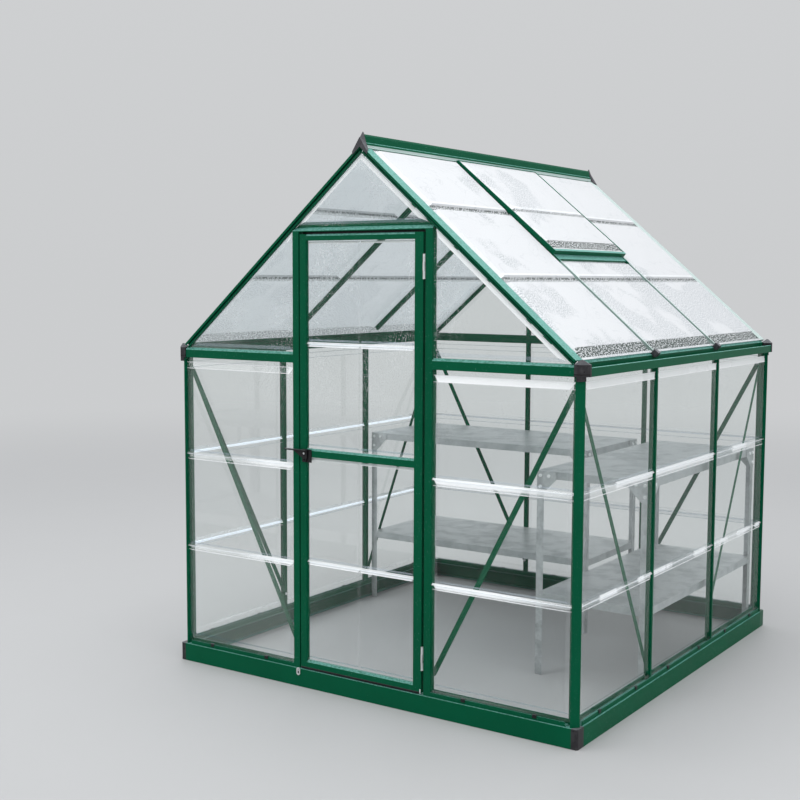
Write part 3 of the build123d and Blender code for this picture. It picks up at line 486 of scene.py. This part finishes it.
@dataclass(frozen=True)
class ClearSheet:
    """Clear sheet in the rain: see-through, with the sky painted white on the slopes at the head of each
    row.
    """

    name: str = "wet_clear_sheet"
    haze: float = 0.003
    streaks: float = 0.04
    beading: float = 0.34
    film_sheen: float = 0.32
    haze_and_sheen: Colour = (0.93, 0.95, 0.96)
    underside_shade: Colour = (0.62, 0.72, 0.84)
    clear: Colour = (0.98, 0.99, 0.987)
    calm: tuple[Step, ...] = ((0.06, 0.1),)
    creases: tuple[float, ...] = (0.463, 0.478, 0.838, 0.858, 1.207, 1.231)
    wetter_above: Step = (0.9, 1.3)
    sloping: Step = (0.12, 0.22)
    top_row: Step = (1.19, 1.2)
    middle_row: Step = (0.6, 0.61)
    middle_slope: Step = (0.844, 0.849)
    low_slope: Step = (0.467, 0.471)
    right_bay: Step = (0.29, 0.3)
    left_bay: Step = (-0.29, -0.3)
    door_bay: Step = (0.29, 0.28)
    rear_gable: Step = (0.9, 0.91)
    # The far wall and its row heads, which get a painted glow.
    far_wall: Step = (-0.87, -0.88)
    far_heads: tuple[float, float] = (0.478, 0.858)

    def build(self) -> bpy.types.Material:
        """Make the material.

        Returns:
            The finished material.
        """
        r = Recipe(self.name)
        x, y, z = r.axes(r.place())
        nx, ny, up = r.facing()
        wall = r.wall_plane()
        broad = r.noise(4.0, 3.0, (1.0, 0.5, 1.0), on=wall)
        fine = r.noise(170.0, 2.0, (1.0, 0.2, 1.0), on=wall)
        veil = broad.rise(0.45, 0.6)
        high = z.rise(*self.wetter_above)
        drops = r.drops(0.0052, 0.5, (1.0, 0.85, 1.0), on=wall)
        beads = drops.rise(0.1, 0.5) * (0.1 + 0.9 * veil) * (0.08 + 0.92 * high)
        # Painted glow: the far wall's row heads are drawn as white lines that glow.
        far = z.near(self.far_heads).rise(0.0065, 0.004) * x.rise(*self.far_wall)
        # White is painted sky reflection on the row heads' slopes.
        white, mirror = self.slopes((x, y, z), nx, up, broad)
        # Painted shade: the faces that look down get a dim bluish share.
        under = up.rise(-0.3, -0.5) * (0.1 + 0.12 * fine)
        corner = (abs(nx).at_most(abs(ny))).rise(0.1, 0.25)
        streaks = self.streaks * (0.25 + 0.75 * high)
        solid = self.haze + streaks * fine.rise(0.52, 0.78) * veil + self.beading * beads
        solid = (solid + white + far * 0.75 + under + 0.04 * corner).at_most(0.96)
        mirror = mirror * (1.0 - 0.75 * corner) * (1.0 - 0.35 * abs(nx).rise(0.8, 0.9))
        body = r.gloss(
            {
                # Faces that look down take a darker bluish tint, painted shade.
                "Base Color": r.mixed(up.rise(-0.1, -0.4), self.haze_and_sheen, self.underside_shade),
                "Roughness": 0.2,
                "Emission Color": r.mixed(far, BLACK, self.haze_and_sheen),
                "Emission Strength": 0.5,
                "Normal": r.bump(drops.at_most(0.7), 0.4, 0.0006),
            }
        )
        water = r.gloss({"Base Color": (1.0, 1.0, 1.0), "Metallic": 1.0, "Roughness": 0.03})
        open_air = r.add("ShaderNodeBsdfTransparent", inputs={0: self.clear})
        edge = r.add("ShaderNodeFresnel", inputs={"IOR": 1.5})
        pane = r.layered(edge * self.film_sheen * mirror, open_air, water)
        return r.finish(r.layered(solid, pane, body))

    def slopes(self, spot: tuple[Wire, Wire, Wire], nx: Wire, up: Wire, broad: Wire) -> tuple[Wire, Wire]:
        """How the slopes at the row heads look, with their painted white sky reflection.

        Args:
            spot: Position on the piece.
            nx: The normal's part along the gable.
            up: The normal's upward part.
            broad: Broad noise.

        Returns:
            Share of painted white and share of mirror.
        """
        _, _, z = spot
        share = self.sky_share(spot, nx, broad)
        # Painted white sky reflection on the sloping faces, and a weaker one on the lips that face up.
        slope = up.rise(*self.sloping) * up.rise(0.93, 0.88) * share * 0.92
        lip = up.rise(0.9, 0.95) * 0.3
        # Thin painted highlights along the creases.
        thin = z.near(self.creases).rise(0.0018, 0.0008) * 0.55
        calm = 1.0
        for low, high in self.calm:
            calm = calm - 0.85 * z.rise(low - 0.002, low) * z.rise(high + 0.002, high)
        tilted = up.rise(*self.sloping)
        mirror = 0.5 * (1.0 - tilted) + tilted * (0.06 + 0.94 * share * calm)
        return (slope + lip) * calm + thin, mirror

    def sky_share(self, spot: tuple[Wire, Wire, Wire], nx: Wire, broad: Wire) -> Wire:
        """How much white sky the slopes mirror, by wall, bay and row.

        Args:
            spot: Position on the piece.
            nx: The normal's part along the gable.
            broad: Broad noise.

        Returns:
            The share, from 0 to 1.
        """
        x, y, z = spot
        top = z.rise(*self.top_row)
        lower = 1.0 - top
        right = x.rise(*self.right_bay) * (top + lower * (1.0 - 0.75 * x.rise(0.5, 0.84)))
        left_lower = lower * (0.12 + 0.88 * x.rise(-0.62, -0.36))
        left_top = top * (0.06 + 0.9 * x.rise(-0.35, -0.335))
        left = x.rise(*self.left_bay) * (left_lower + left_top)
        door = 0.55 * abs(x).rise(*self.door_bay)
        gable = (right + left + door).at_most(1.0)
        patches = broad.rise(0.45, 0.53)
        wall = top * (0.75 + 0.25 * patches) + lower * (0.1 + 0.6 * patches)
        share = gable + abs(nx).rise(0.3, 0.5) * (wall - gable)
        middle = z.rise(*self.middle_row)
        upper = top.at_least(middle * z.rise(*self.middle_slope))
        upper = upper.at_least((1.0 - middle) * z.rise(*self.low_slope))
        return share * (1.0 - 0.85 * y.rise(*self.rear_gable)) * (0.3 + 0.7 * upper)


@dataclass(frozen=True)
class RoofSheet:
    """Roof sheet, whitish with the sky's white painted into its colour, fine rain and dark dotted strips
    at the feet of its rows.
    """

    name: str = "wet_roof_sheet"
    pale: Colour = (0.755, 0.77, 0.79)
    grey: Colour = (0.5, 0.53, 0.56)
    dark: Colour = (0.025, 0.05, 0.038)
    underside_glow: Colour = (0.85, 0.9, 0.95)
    bevel_glow: Colour = (0.36, 0.37, 0.38)
    clear: Colour = (0.97, 0.98, 0.98)
    foot: Step = (1.098, 1.136)
    seams: tuple[float, ...] = (0.358, 0.748)
    lower_rows: Step = (0.7, 0.85)

    def build(self) -> bpy.types.Material:
        """Make the material.

        Returns:
            The finished material.
        """
        r = Recipe(self.name)
        roof = r.roof_plane()
        _, down, _ = r.axes(roof)
        _, _, up = r.facing()
        band, bevel = self.bands(down)
        speckle = r.noise(170.0, 1.0, on=roof).rise(0.44, 0.6)
        broad = r.noise(2.6, 3.0, on=roof) + 0.21 * down.rise(*self.lower_rows) - 0.12
        patch = broad.rise(0.46, 0.54)
        swirl = r.noise(4.5, 4.0, (0.7, 1.2, 1.0), 1.8, on=roof)
        lines = abs(swirl - 0.5).rise(0.012, 0.0)
        tone = speckle * (0.06 + 0.8 * patch) + 0.4 * lines * (1.0 - 0.5 * patch)
        clots = r.noise(190.0, 1.0, (0.6, 1.0, 1.0), on=roof).rise(0.4, 0.52)
        colour = r.mixed(tone.at_most(1.0), self.pale, self.grey)
        # Painted glow on the faces that look down, standing for sky light through the sheet.
        back = r.mixed(up.rise(-0.3, -0.5), BLACK, self.underside_glow)
        body = r.gloss(
            {
                "Base Color": r.mixed(band * clots, colour, self.dark),
                "Roughness": 0.2,
                # Painted glow on the slopes at the row heads, to lift their shade.
                "Emission Color": r.mixed(bevel * up.rise(0.1, 0.2), back, self.bevel_glow),
                "Emission Strength": 0.3,
                "Normal": r.bump(speckle, 0.25, 0.0005),
            }
        )
        open_air = r.add("ShaderNodeBsdfTransparent", inputs={0: self.clear})
        solid = 0.86 - 0.12 * speckle * patch - 0.1 * band * (1.0 - clots)
        return r.finish(r.layered(solid, open_air, body))

    def bands(self, down: Wire) -> tuple[Wire, Wire]:
        """Find the dark dotted strips and the slopes of the row heads over them, which get a painted
        glow.

        Args:
            down: Distance down from the ridge.

        Returns:
            Share of the dark strips and of the slopes.
        """
        start, end = self.foot
        strips = [down.rise(start - 0.006, start) * down.rise(end, end - 0.003)]
        slopes = []
        for seam in self.seams:
            strip = down.rise(seam - 0.017, seam - 0.015) * down.rise(seam + 0.004, seam + 0.002)
            strips.append(strip * 0.75)
            slopes.append(down.rise(seam - 0.032, seam - 0.03) * down.rise(seam - 0.015, seam - 0.017))
        return reduce(Wire.at_least, strips), reduce(Wire.at_least, slopes)


@dataclass(frozen=True)
class PaleFloor:
    """Matt floor that fades into the background."""

    name: str = "pale_floor"
    colour: Colour = (0.48, 0.485, 0.49)
    mottled: Colour = (0.45, 0.455, 0.46)
    far: Colour = (0.6, 0.61, 0.62)
    fade: Step = (4.0, 11.0)

    def build(self) -> bpy.types.Material:
        """Make the material.

        Returns:
            The finished material.
        """
        r = Recipe(self.name)
        x, y, _ = r.axes(r.place())
        near = r.mixed(r.noise(3.0, 4.0) * 0.25, self.colour, self.mottled)
        ground = r.gloss({"Base Color": near, "Roughness": 0.55})
        glow = r.add("ShaderNodeEmission", inputs={"Color": self.far, "Strength": 1.0})
        return r.finish(r.layered((x * x + y * y).root().rise(*self.fade), ground, glow))


@dataclass(frozen=True)
class SoftLamp:
    """A square lamp that looks at the middle of the house."""

    name: str
    spot: Point
    size: float
    watts: float
    aim: Point = (0.0, 0.0, 1.0)

    def hang(self) -> None:
        """Put the lamp in the scene."""
        data = bpy.data.lights.new(self.name, "AREA")
        data.energy = self.watts
        data.size = self.size
        lamp = bpy.data.objects.new(self.name, data)
        bpy.context.scene.collection.objects.link(lamp)
        lamp.location = self.spot
        lamp.rotation_euler = (Vector(self.spot) - Vector(self.aim)).to_track_quat("Z", "Y").to_euler()


@dataclass
class Studio:
    """Camera, lamps, sky and floor."""

    lens: float = 56.998
    sensor: float = 36.0
    sight: float = 200.0
    stand: Point = (2.7181, -4.675, 1.564)
    yaw: float = 0.5974
    pitch: float = -0.0946
    roll: float = 0.0038
    sky: tuple[tuple[float, Colour], ...] = (
        (0.0, (0.6, 0.61, 0.62)),
        (0.24, (0.62, 0.63, 0.64)),
        (0.6, (0.95, 0.97, 1.0)),
        (1.0, (1.0, 1.0, 1.0)),
    )
    lamps: tuple[SoftLamp, ...] = (
        SoftLamp("overhead", (0.0, -1.0, 6.0), 5.0, 150.0),
        SoftLamp("front_left", (-4.5, -6.0, 4.2), 3.5, 75.0),
        SoftLamp("right_fill", (6.0, -1.5, 3.0), 3.5, 60.0),
    )
    floor_radius: float = 60.0
    floor_sides: int = 96
    floor_height: float = -0.0006
    clear_layers: int = 8
    finish: PaleFloor = field(default_factory=PaleFloor)

    def build(self) -> None:
        """Set up everything round the house."""
        self.set_camera()
        self.set_sky()
        for lamp in self.lamps:
            lamp.hang()
        self.set_floor()
        bpy.context.scene.view_settings.view_transform = "Standard"
        bpy.context.scene.cycles.transparent_max_bounces = self.clear_layers

    def set_camera(self) -> None:
        """Stand the camera where the photograph was taken from."""
        data = bpy.data.cameras.new("camera")
        data.lens = self.lens
        data.sensor_width = self.sensor
        data.clip_end = self.sight
        camera = bpy.data.objects.new("camera", data)
        bpy.context.scene.collection.objects.link(camera)
        reach = math.cos(self.pitch)
        ahead = Vector((-math.sin(self.yaw) * reach, math.cos(self.yaw) * reach, math.sin(self.pitch)))
        level = Vector((math.cos(self.yaw), math.sin(self.yaw), 0.0))
        above = level.cross(ahead)
        right = math.cos(self.roll) * level + math.sin(self.roll) * above
        upward = -math.sin(self.roll) * level + math.cos(self.roll) * above
        turn = Matrix((right, upward, -ahead)).transposed().to_4x4()
        camera.matrix_world = Matrix.Translation(self.stand) @ turn
        bpy.context.scene.camera = camera

    def set_sky(self) -> None:
        """Light the house from a pale overcast sky, brightest overhead."""
        world = bpy.data.worlds.new("overcast_sky")
        world.use_nodes = True
        tree = world.node_tree
        tree.nodes.clear()
        coords = tree.nodes.new("ShaderNodeTexCoord")
        split = tree.nodes.new("ShaderNodeSeparateXYZ")
        ramp = tree.nodes.new("ShaderNodeValToRGB")
        back = tree.nodes.new("ShaderNodeBackground")
        out = tree.nodes.new("ShaderNodeOutputWorld")
        stops = ramp.color_ramp.elements
        while len(stops) < len(self.sky):
            stops.new(0.5)
        for stop, (height, colour) in zip(stops, self.sky):
            stop.position = height
            stop.color = (*colour, 1.0)
        tree.links.new(coords.outputs["Generated"], split.inputs[0])
        tree.links.new(split.outputs[2], ramp.inputs[0])
        tree.links.new(ramp.outputs[0], back.inputs["Color"])
        tree.links.new(back.outputs[0], out.inputs["Surface"])
        bpy.context.scene.world = world

    def set_floor(self) -> None:
        """Lay the floor just under the skirt."""
        bpy.ops.object.select_all(action="DESELECT")
        bpy.ops.mesh.primitive_circle_add(
            vertices=self.floor_sides,
            radius=self.floor_radius,
            fill_type="NGON",
            location=(0, 0, self.floor_height),
        )
        floor = bpy.context.active_object
        floor.name = "floor"
        bpy.ops.object.transform_apply(location=True, rotation=True, scale=True)
        floor.data.materials.append(self.finish.build())


def select_faces(obj: bpy.types.Object, axis: int, sign: int, square: float = 0.99) -> None:
    """In edit mode, select the faces that look along one axis.

    Args:
        obj: The object in edit mode.
        axis: 0, 1 or 2 for x, y or z.
        sign: 1 for the axis's own direction, -1 for the other.
        square: Least part of the normal along the axis.
    """
    bpy.ops.mesh.select_all(action="DESELECT")
    bpy.ops.object.mode_set(mode="OBJECT")
    for polygon in obj.data.polygons:
        polygon.select = polygon.normal[axis] * sign > square
    bpy.ops.object.mode_set(mode="EDIT")


@dataclass
class Fastener:
    """A screw head or nut, modelled once looking up and copied to where it sits.

    Its rims are shares of the radius, and its crown and dish are shares of the height.
    """

    radius: float
    height: float
    sides: int = 12
    rim: float = 0.35
    crown: float = 0.35
    dish_rim: float = 0.2
    dish: float = 0.3

    def model(self) -> bpy.types.Object:
        """Make the first one at the origin, its face up.

        Returns:
            The fastener.
        """
        bpy.ops.object.select_all(action="DESELECT")
        bpy.ops.mesh.primitive_cylinder_add(
            vertices=self.sides, radius=self.radius, depth=self.height, location=(0, 0, self.height / 2)
        )
        first = bpy.context.active_object
        bpy.ops.object.transform_apply(location=True, rotation=True, scale=True)
        bpy.ops.object.mode_set(mode="EDIT")
        bpy.ops.mesh.select_mode(type="FACE")
        select_faces(first, 2, 1)
        bpy.ops.mesh.inset(thickness=self.radius * self.rim, depth=self.height * self.crown)
        bpy.ops.mesh.inset(thickness=self.radius * self.dish_rim, depth=-self.height * self.dish)
        bpy.ops.object.mode_set(mode="OBJECT")
        return first

    def array(self, name: str, seats: Sequence[Seat]) -> bpy.types.Object:
        """Copy it to a row of seats and join the copies.

        Args:
            name: Name of the joined piece.
            seats: Place of each copy, with the direction that it looks in.

        Returns:
            The joined piece.
        """
        first = self.model()
        copies = []
        for spot, look in seats:
            copy = first.copy()
            copy.data = first.data.copy()
            bpy.context.scene.collection.objects.link(copy)
            turn = Vector(look).to_track_quat("Z", "Y").to_matrix().to_4x4()
            copy.data.transform(Matrix.Translation(spot) @ turn)
            copies.append(copy)
        bpy.data.objects.remove(first)
        bpy.ops.object.select_all(action="DESELECT")
        for copy in copies:
            copy.select_set(True)
        bpy.context.view_layer.objects.active = copies[0]
        if len(copies) > 1:
            bpy.ops.object.join()
        joined = bpy.context.active_object
        joined.name = name
        return joined


@dataclass
class Strip:
    """A straight bar between two corners, with its edges rounded."""

    name: str
    low: Point
    high: Point
    round: float = 0.0008

    def build(self) -> bpy.types.Object:
        """Model it from a cube that is scaled and bevelled in edit mode.

        Returns:
            The strip.
        """
        middle = [(a + b) / 2 for a, b in zip(self.low, self.high)]
        size = [b - a for a, b in zip(self.low, self.high)]
        bpy.ops.object.select_all(action="DESELECT")
        bpy.ops.mesh.primitive_cube_add(size=1.0, location=(0, 0, 0))
        strip = bpy.context.active_object
        strip.name = self.name
        bpy.ops.object.mode_set(mode="EDIT")
        bpy.ops.mesh.select_all(action="SELECT")
        bpy.ops.transform.resize(value=size)
        bpy.ops.transform.translate(value=middle)
        bpy.ops.mesh.select_mode(type="EDGE")
        bpy.ops.mesh.select_all(action="SELECT")
        bpy.ops.mesh.bevel(offset=self.round, segments=2)
        bpy.ops.object.mode_set(mode="OBJECT")
        return strip


def fit(
    piece: bpy.types.Object, body: str, finish: bpy.types.Material, sharp: float = 35.0
) -> None:
    """Dress a new piece and fix it to a body.

    Args:
        piece: The new piece.
        body: The CAD body that it moves with.
        finish: Its material.
        sharp: Angle in degrees over which an edge stays sharp.
    """
    piece.data.materials.clear()
    piece.data.materials.append(finish)
    bpy.ops.object.select_all(action="DESELECT")
    piece.select_set(True)
    bpy.context.view_layer.objects.active = piece
    bpy.ops.object.shade_smooth_by_angle(angle=math.radians(sharp))
    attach(piece, body)
    LOG.info("%s: %d faces", piece.name, len(piece.data.polygons))


@dataclass
class FrameBolts:
    """Nuts on the ends of the wall braces and screws on the staging's gussets."""

    finish: bpy.types.Material
    wall: float = 0.897
    gable: float = 0.942
    brace_depth: float = 0.03
    brace_top: float = 1.199
    brace_foot: float = 0.15
    gable_runs: tuple[float, float] = (0.8515, 0.3135)
    wall_runs: tuple[float, float] = (0.8965, 0.318)
    units: tuple[tuple[float, float, float, float], ...] = (
        (0.39, 0.8607, -0.29, 0.87),
        (-0.8607, 0.3, 0.343, 0.87),
    )
    unit_top: float = 0.82
    gauge: float = 0.0015
    gusset: tuple[tuple[float, float], ...] = ((0.015, -0.018), (0.052, -0.018), (0.015, -0.062))
    nut: Fastener = field(default_factory=lambda: Fastener(0.006, 0.005, 6))
    screw: Fastener = field(default_factory=lambda: Fastener(0.0068, 0.004))

    def build(self) -> None:
        """Make the nuts and the screws."""
        nuts = self.nut.array("brace_nuts", self.brace_ends())
        fit(nuts, "house", self.finish)
        screws = self.screw.array("staging_screws", self.gusset_seats())
        fit(screws, "house", self.finish)

    def brace_ends(self) -> list[Seat]:
        """Find the ends of all braces.

        Returns:
            Seats on the braces' inner faces.
        """
        heights = (self.brace_top, self.brace_foot)
        seats = []
        for side in (1, -1):
            inner_x = side * (self.wall - self.brace_depth)
            for end in (1, -1):
                inner_y = end * (self.gable - self.brace_depth)
                for run, height in zip(self.gable_runs, heights):
                    seats.append(((side * run, inner_y, height), (0, -end, 0)))
                for run, height in zip(self.wall_runs, heights):
                    seats.append(((inner_x, end * run, height), (-side, 0, 0)))
        return seats

    def gusset_seats(self) -> list[Seat]:
        """Find the screws of the staging's gussets, three on each outer face.

        Returns:
            Seats on the gussets.
        """
        seats = []
        for x0, x1, y0, y1 in self.units:
            for corner_x, sign_x in ((x0, 1), (x1, -1)):
                for corner_y, sign_y in ((y0, 1), (y1, -1)):
                    face_x, face_y = corner_x - sign_x * self.gauge, corner_y - sign_y * self.gauge
                    for run, drop in self.gusset:
                        height = self.unit_top + drop
                        seats.append(((corner_x + sign_x * run, face_y, height), (0, -sign_y, 0)))
                        seats.append(((face_x, corner_y + sign_y * run, height), (-sign_x, 0, 0)))
        return seats


@dataclass
class DoorTrim:
    """Screws, seals and small strips of the door, its latch, its catch and its header."""

    metal: bpy.types.Material
    rubber: bpy.types.Material
    lever_pivot: tuple[float, float] = (-0.2535, 0.909)
    lever_recess: float = 0.0122
    catch_face: float = -0.95
    heart_proud: float = 0.0012
    heart_half: float = 0.005
    heart_border: float = 0.006
    bolt_drop: float = 0.011
    sweep_ends: tuple[float, float] = (-0.2775, 0.2675)
    sweep_proud: float = 0.0015
    sweep_back: float = 0.006
    sweep_heights: tuple[float, float] = (-0.0048, 0.0035)
    shoe_ends: tuple[float, float] = (0.2685, 0.2738)
    shoe_depths: tuple[float, float] = (-0.0018, -0.0002)
    shoe_heights: tuple[float, float] = (-0.004, 0.014)
    seal_half: float = 0.279
    seal_depths: tuple[float, float] = (0.0195, 0.0225)
    seal_heights: tuple[float, float] = (-0.016, 0.0005)
    pin: Fastener = field(default_factory=lambda: Fastener(0.0042, 0.0022))
    bolt: Fastener = field(default_factory=lambda: Fastener(0.0028, 0.0018))

    def build(self) -> None:
        """Make all of the door's trim."""
        self.latch_pin()
        self.catch()
        self.door_foot()
        self.header_seal()

    def latch_pin(self) -> None:
        """Screw the latch lever to its plate."""
        low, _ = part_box("latch_lever")
        across, height = self.lever_pivot
        spot = (across, low[1] + self.lever_recess, height)
        fit(self.pin.array("lever_screw", [(spot, (0, -1, 0))]), "latch", self.metal)

    def catch(self) -> None:
        """Fill the door catch and screw it down."""
        low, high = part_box("door_catch")
        middle = (low[0] + high[0]) / 2
        front = self.catch_face - self.heart_proud
        heart = Strip(
            "catch_heart",
            (middle - self.heart_half, front, low[2] + self.heart_border),
            (middle + self.heart_half, self.catch_face, high[2] - self.heart_border),
        )
        fit(heart.build(), "house", self.rubber)
        bolt = self.bolt.array("catch_bolt", [((middle, front, high[2] - self.bolt_drop), (0, -1, 0))])
        fit(bolt, "house", self.metal)

    def door_foot(self) -> None:
        """Give the door's bottom rail its rubber sweep and its bright end."""
        low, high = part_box("door_bottom_rail")
        (left, right), (down, up) = self.sweep_ends, self.sweep_heights
        sweep = Strip(
            "door_sweep",
            (left, low[1] - self.sweep_proud, low[2] + down),
            (right, high[1] - self.sweep_back, low[2] + up),
        )
        fit(sweep.build(), "door", self.rubber)
        corners = zip(self.shoe_ends, self.shoe_depths, self.shoe_heights)
        near, far = [(across, low[1] + depth, low[2] + height) for across, depth, height in corners]
        fit(Strip("door_shoe", near, far).build(), "door", self.metal)

    def header_seal(self) -> None:
        """Hang the seal under the door header."""
        low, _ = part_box("door_header")
        corners = zip((-self.seal_half, self.seal_half), self.seal_depths, self.seal_heights)
        near, far = [(across, low[1] + depth, low[2] + height) for across, depth, height in corners]
        fit(Strip("header_seal", near, far).build(), "house", self.rubber)


@dataclass
class Paintwork:
    """Finish of every CAD node."""

    nodes: dict[str, bpy.types.Object]
    slots: dict[str, str]
    by_slot: dict[str, bpy.types.Material] = field(default_factory=dict)
    by_node: dict[str, bpy.types.Material] = field(default_factory=dict)

    def dress(self) -> None:
        """Give each node its material."""
        self.mix_slots()
        self.mix_nodes()
        for name, obj in self.nodes.items():
            obj.data.materials.clear()
            obj.data.materials.append(self.by_node.get(name, self.by_slot[self.slots[name]]))
            obj.visible_shadow = self.slots[name] != "clear_sheet"
            LOG.info("%s: %s", name, obj.data.materials[0].name)

    def mix_slots(self) -> None:
        """Make the finish of each of the record's slots."""
        finishes = {
            "clear_sheet": ClearSheet(),
            "roof_sheet": RoofSheet(),
            "grey_plastic": DarkPlastic(colour=(0.04, 0.039, 0.045), dust=(0.12, 0.12, 0.13)),
            "black_plastic": DarkPlastic(
                name="jet_plastic",
                colour=(0.006, 0.006, 0.007),
                dust=(0.02, 0.02, 0.022),
                wet=(0.09, 0.095, 0.1),
            ),
            "bright_metal": BareMetal(),
            "galvanised_steel": BareMetal(
                name="galvanised",
                colour=(0.6, 0.63, 0.64),
                dull=(0.34, 0.36, 0.37),
                roughness=0.35,
                metallic=0.6,
            ),
            "green_steel": GreenPaint(name="green_skirt", roughness=0.36),
            "green_aluminium": GreenPaint(),
        }
        self.by_slot = {slot: finish.build() for slot, finish in finishes.items()}

    def mix_nodes(self) -> None:
        """Make the finishes of the nodes that differ from their slot."""
        finishes = {
            "gutter_left": GreenPaint(name="gutter_paint", sheen=Sheen.GUTTER),
            "gable_rafters": GreenPaint(name="roof_paint", sheen=Sheen.ROOF),
            "ridge_beam": GreenPaint(name="ridge_paint", sheen=Sheen.RIDGE),
            "door_sheets": ClearSheet(
                name="wet_door_sheet",
                haze=0.006,
                streaks=0.08,
                beading=0.4,
                calm=((0.1, 0.122), (0.925, 0.95)),
                creases=(0.481, 0.49, 1.314, 1.323),
            ),
            "vent_sheet": RoofSheet(name="wet_vent_sheet", foot=(0.541, 0.579), seams=(0.358,)),
            "eave_brackets": DarkPlastic(name="bracket_plastic", groove_shade_height=1.2575),
            "base_corner_covers": DarkPlastic(name="cover_plastic", rear=GreenPaint.deep),
            "staging_shelves": BareMetal(
                name="galvanised_shelf",
                colour=(0.52, 0.55, 0.56),
                dull=(0.37, 0.4, 0.41),
                roughness=0.28,
                metallic=0.6,
            ),
        }
        self.by_node = {node: finish.build() for node, finish in finishes.items()}
        self.by_node["gutter_right"] = self.by_node["gutter_left"]
        for node in ("mid_rafters", "vent_frame"):
            self.by_node[node] = self.by_node["gable_rafters"]


def main() -> None:
    """Load the frame, dress it, add its fittings and report."""
    logging.basicConfig(level=logging.INFO, format="%(message)s")
    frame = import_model()
    Studio().build()
    slots = {part["node"]: part["material_slot"] for part in frame["record"]["subparts"]}
    paintwork = Paintwork(frame["nodes"], slots)
    paintwork.dress()
    zinc = BareMetal(name="bolt_zinc", colour=(0.92, 0.93, 0.94), dull=(0.75, 0.77, 0.78), metallic=0.2)
    FrameBolts(zinc.build()).build()
    DoorTrim(paintwork.by_slot["bright_metal"], paintwork.by_slot["black_plastic"]).build()


if __name__ == "__main__":
    main()
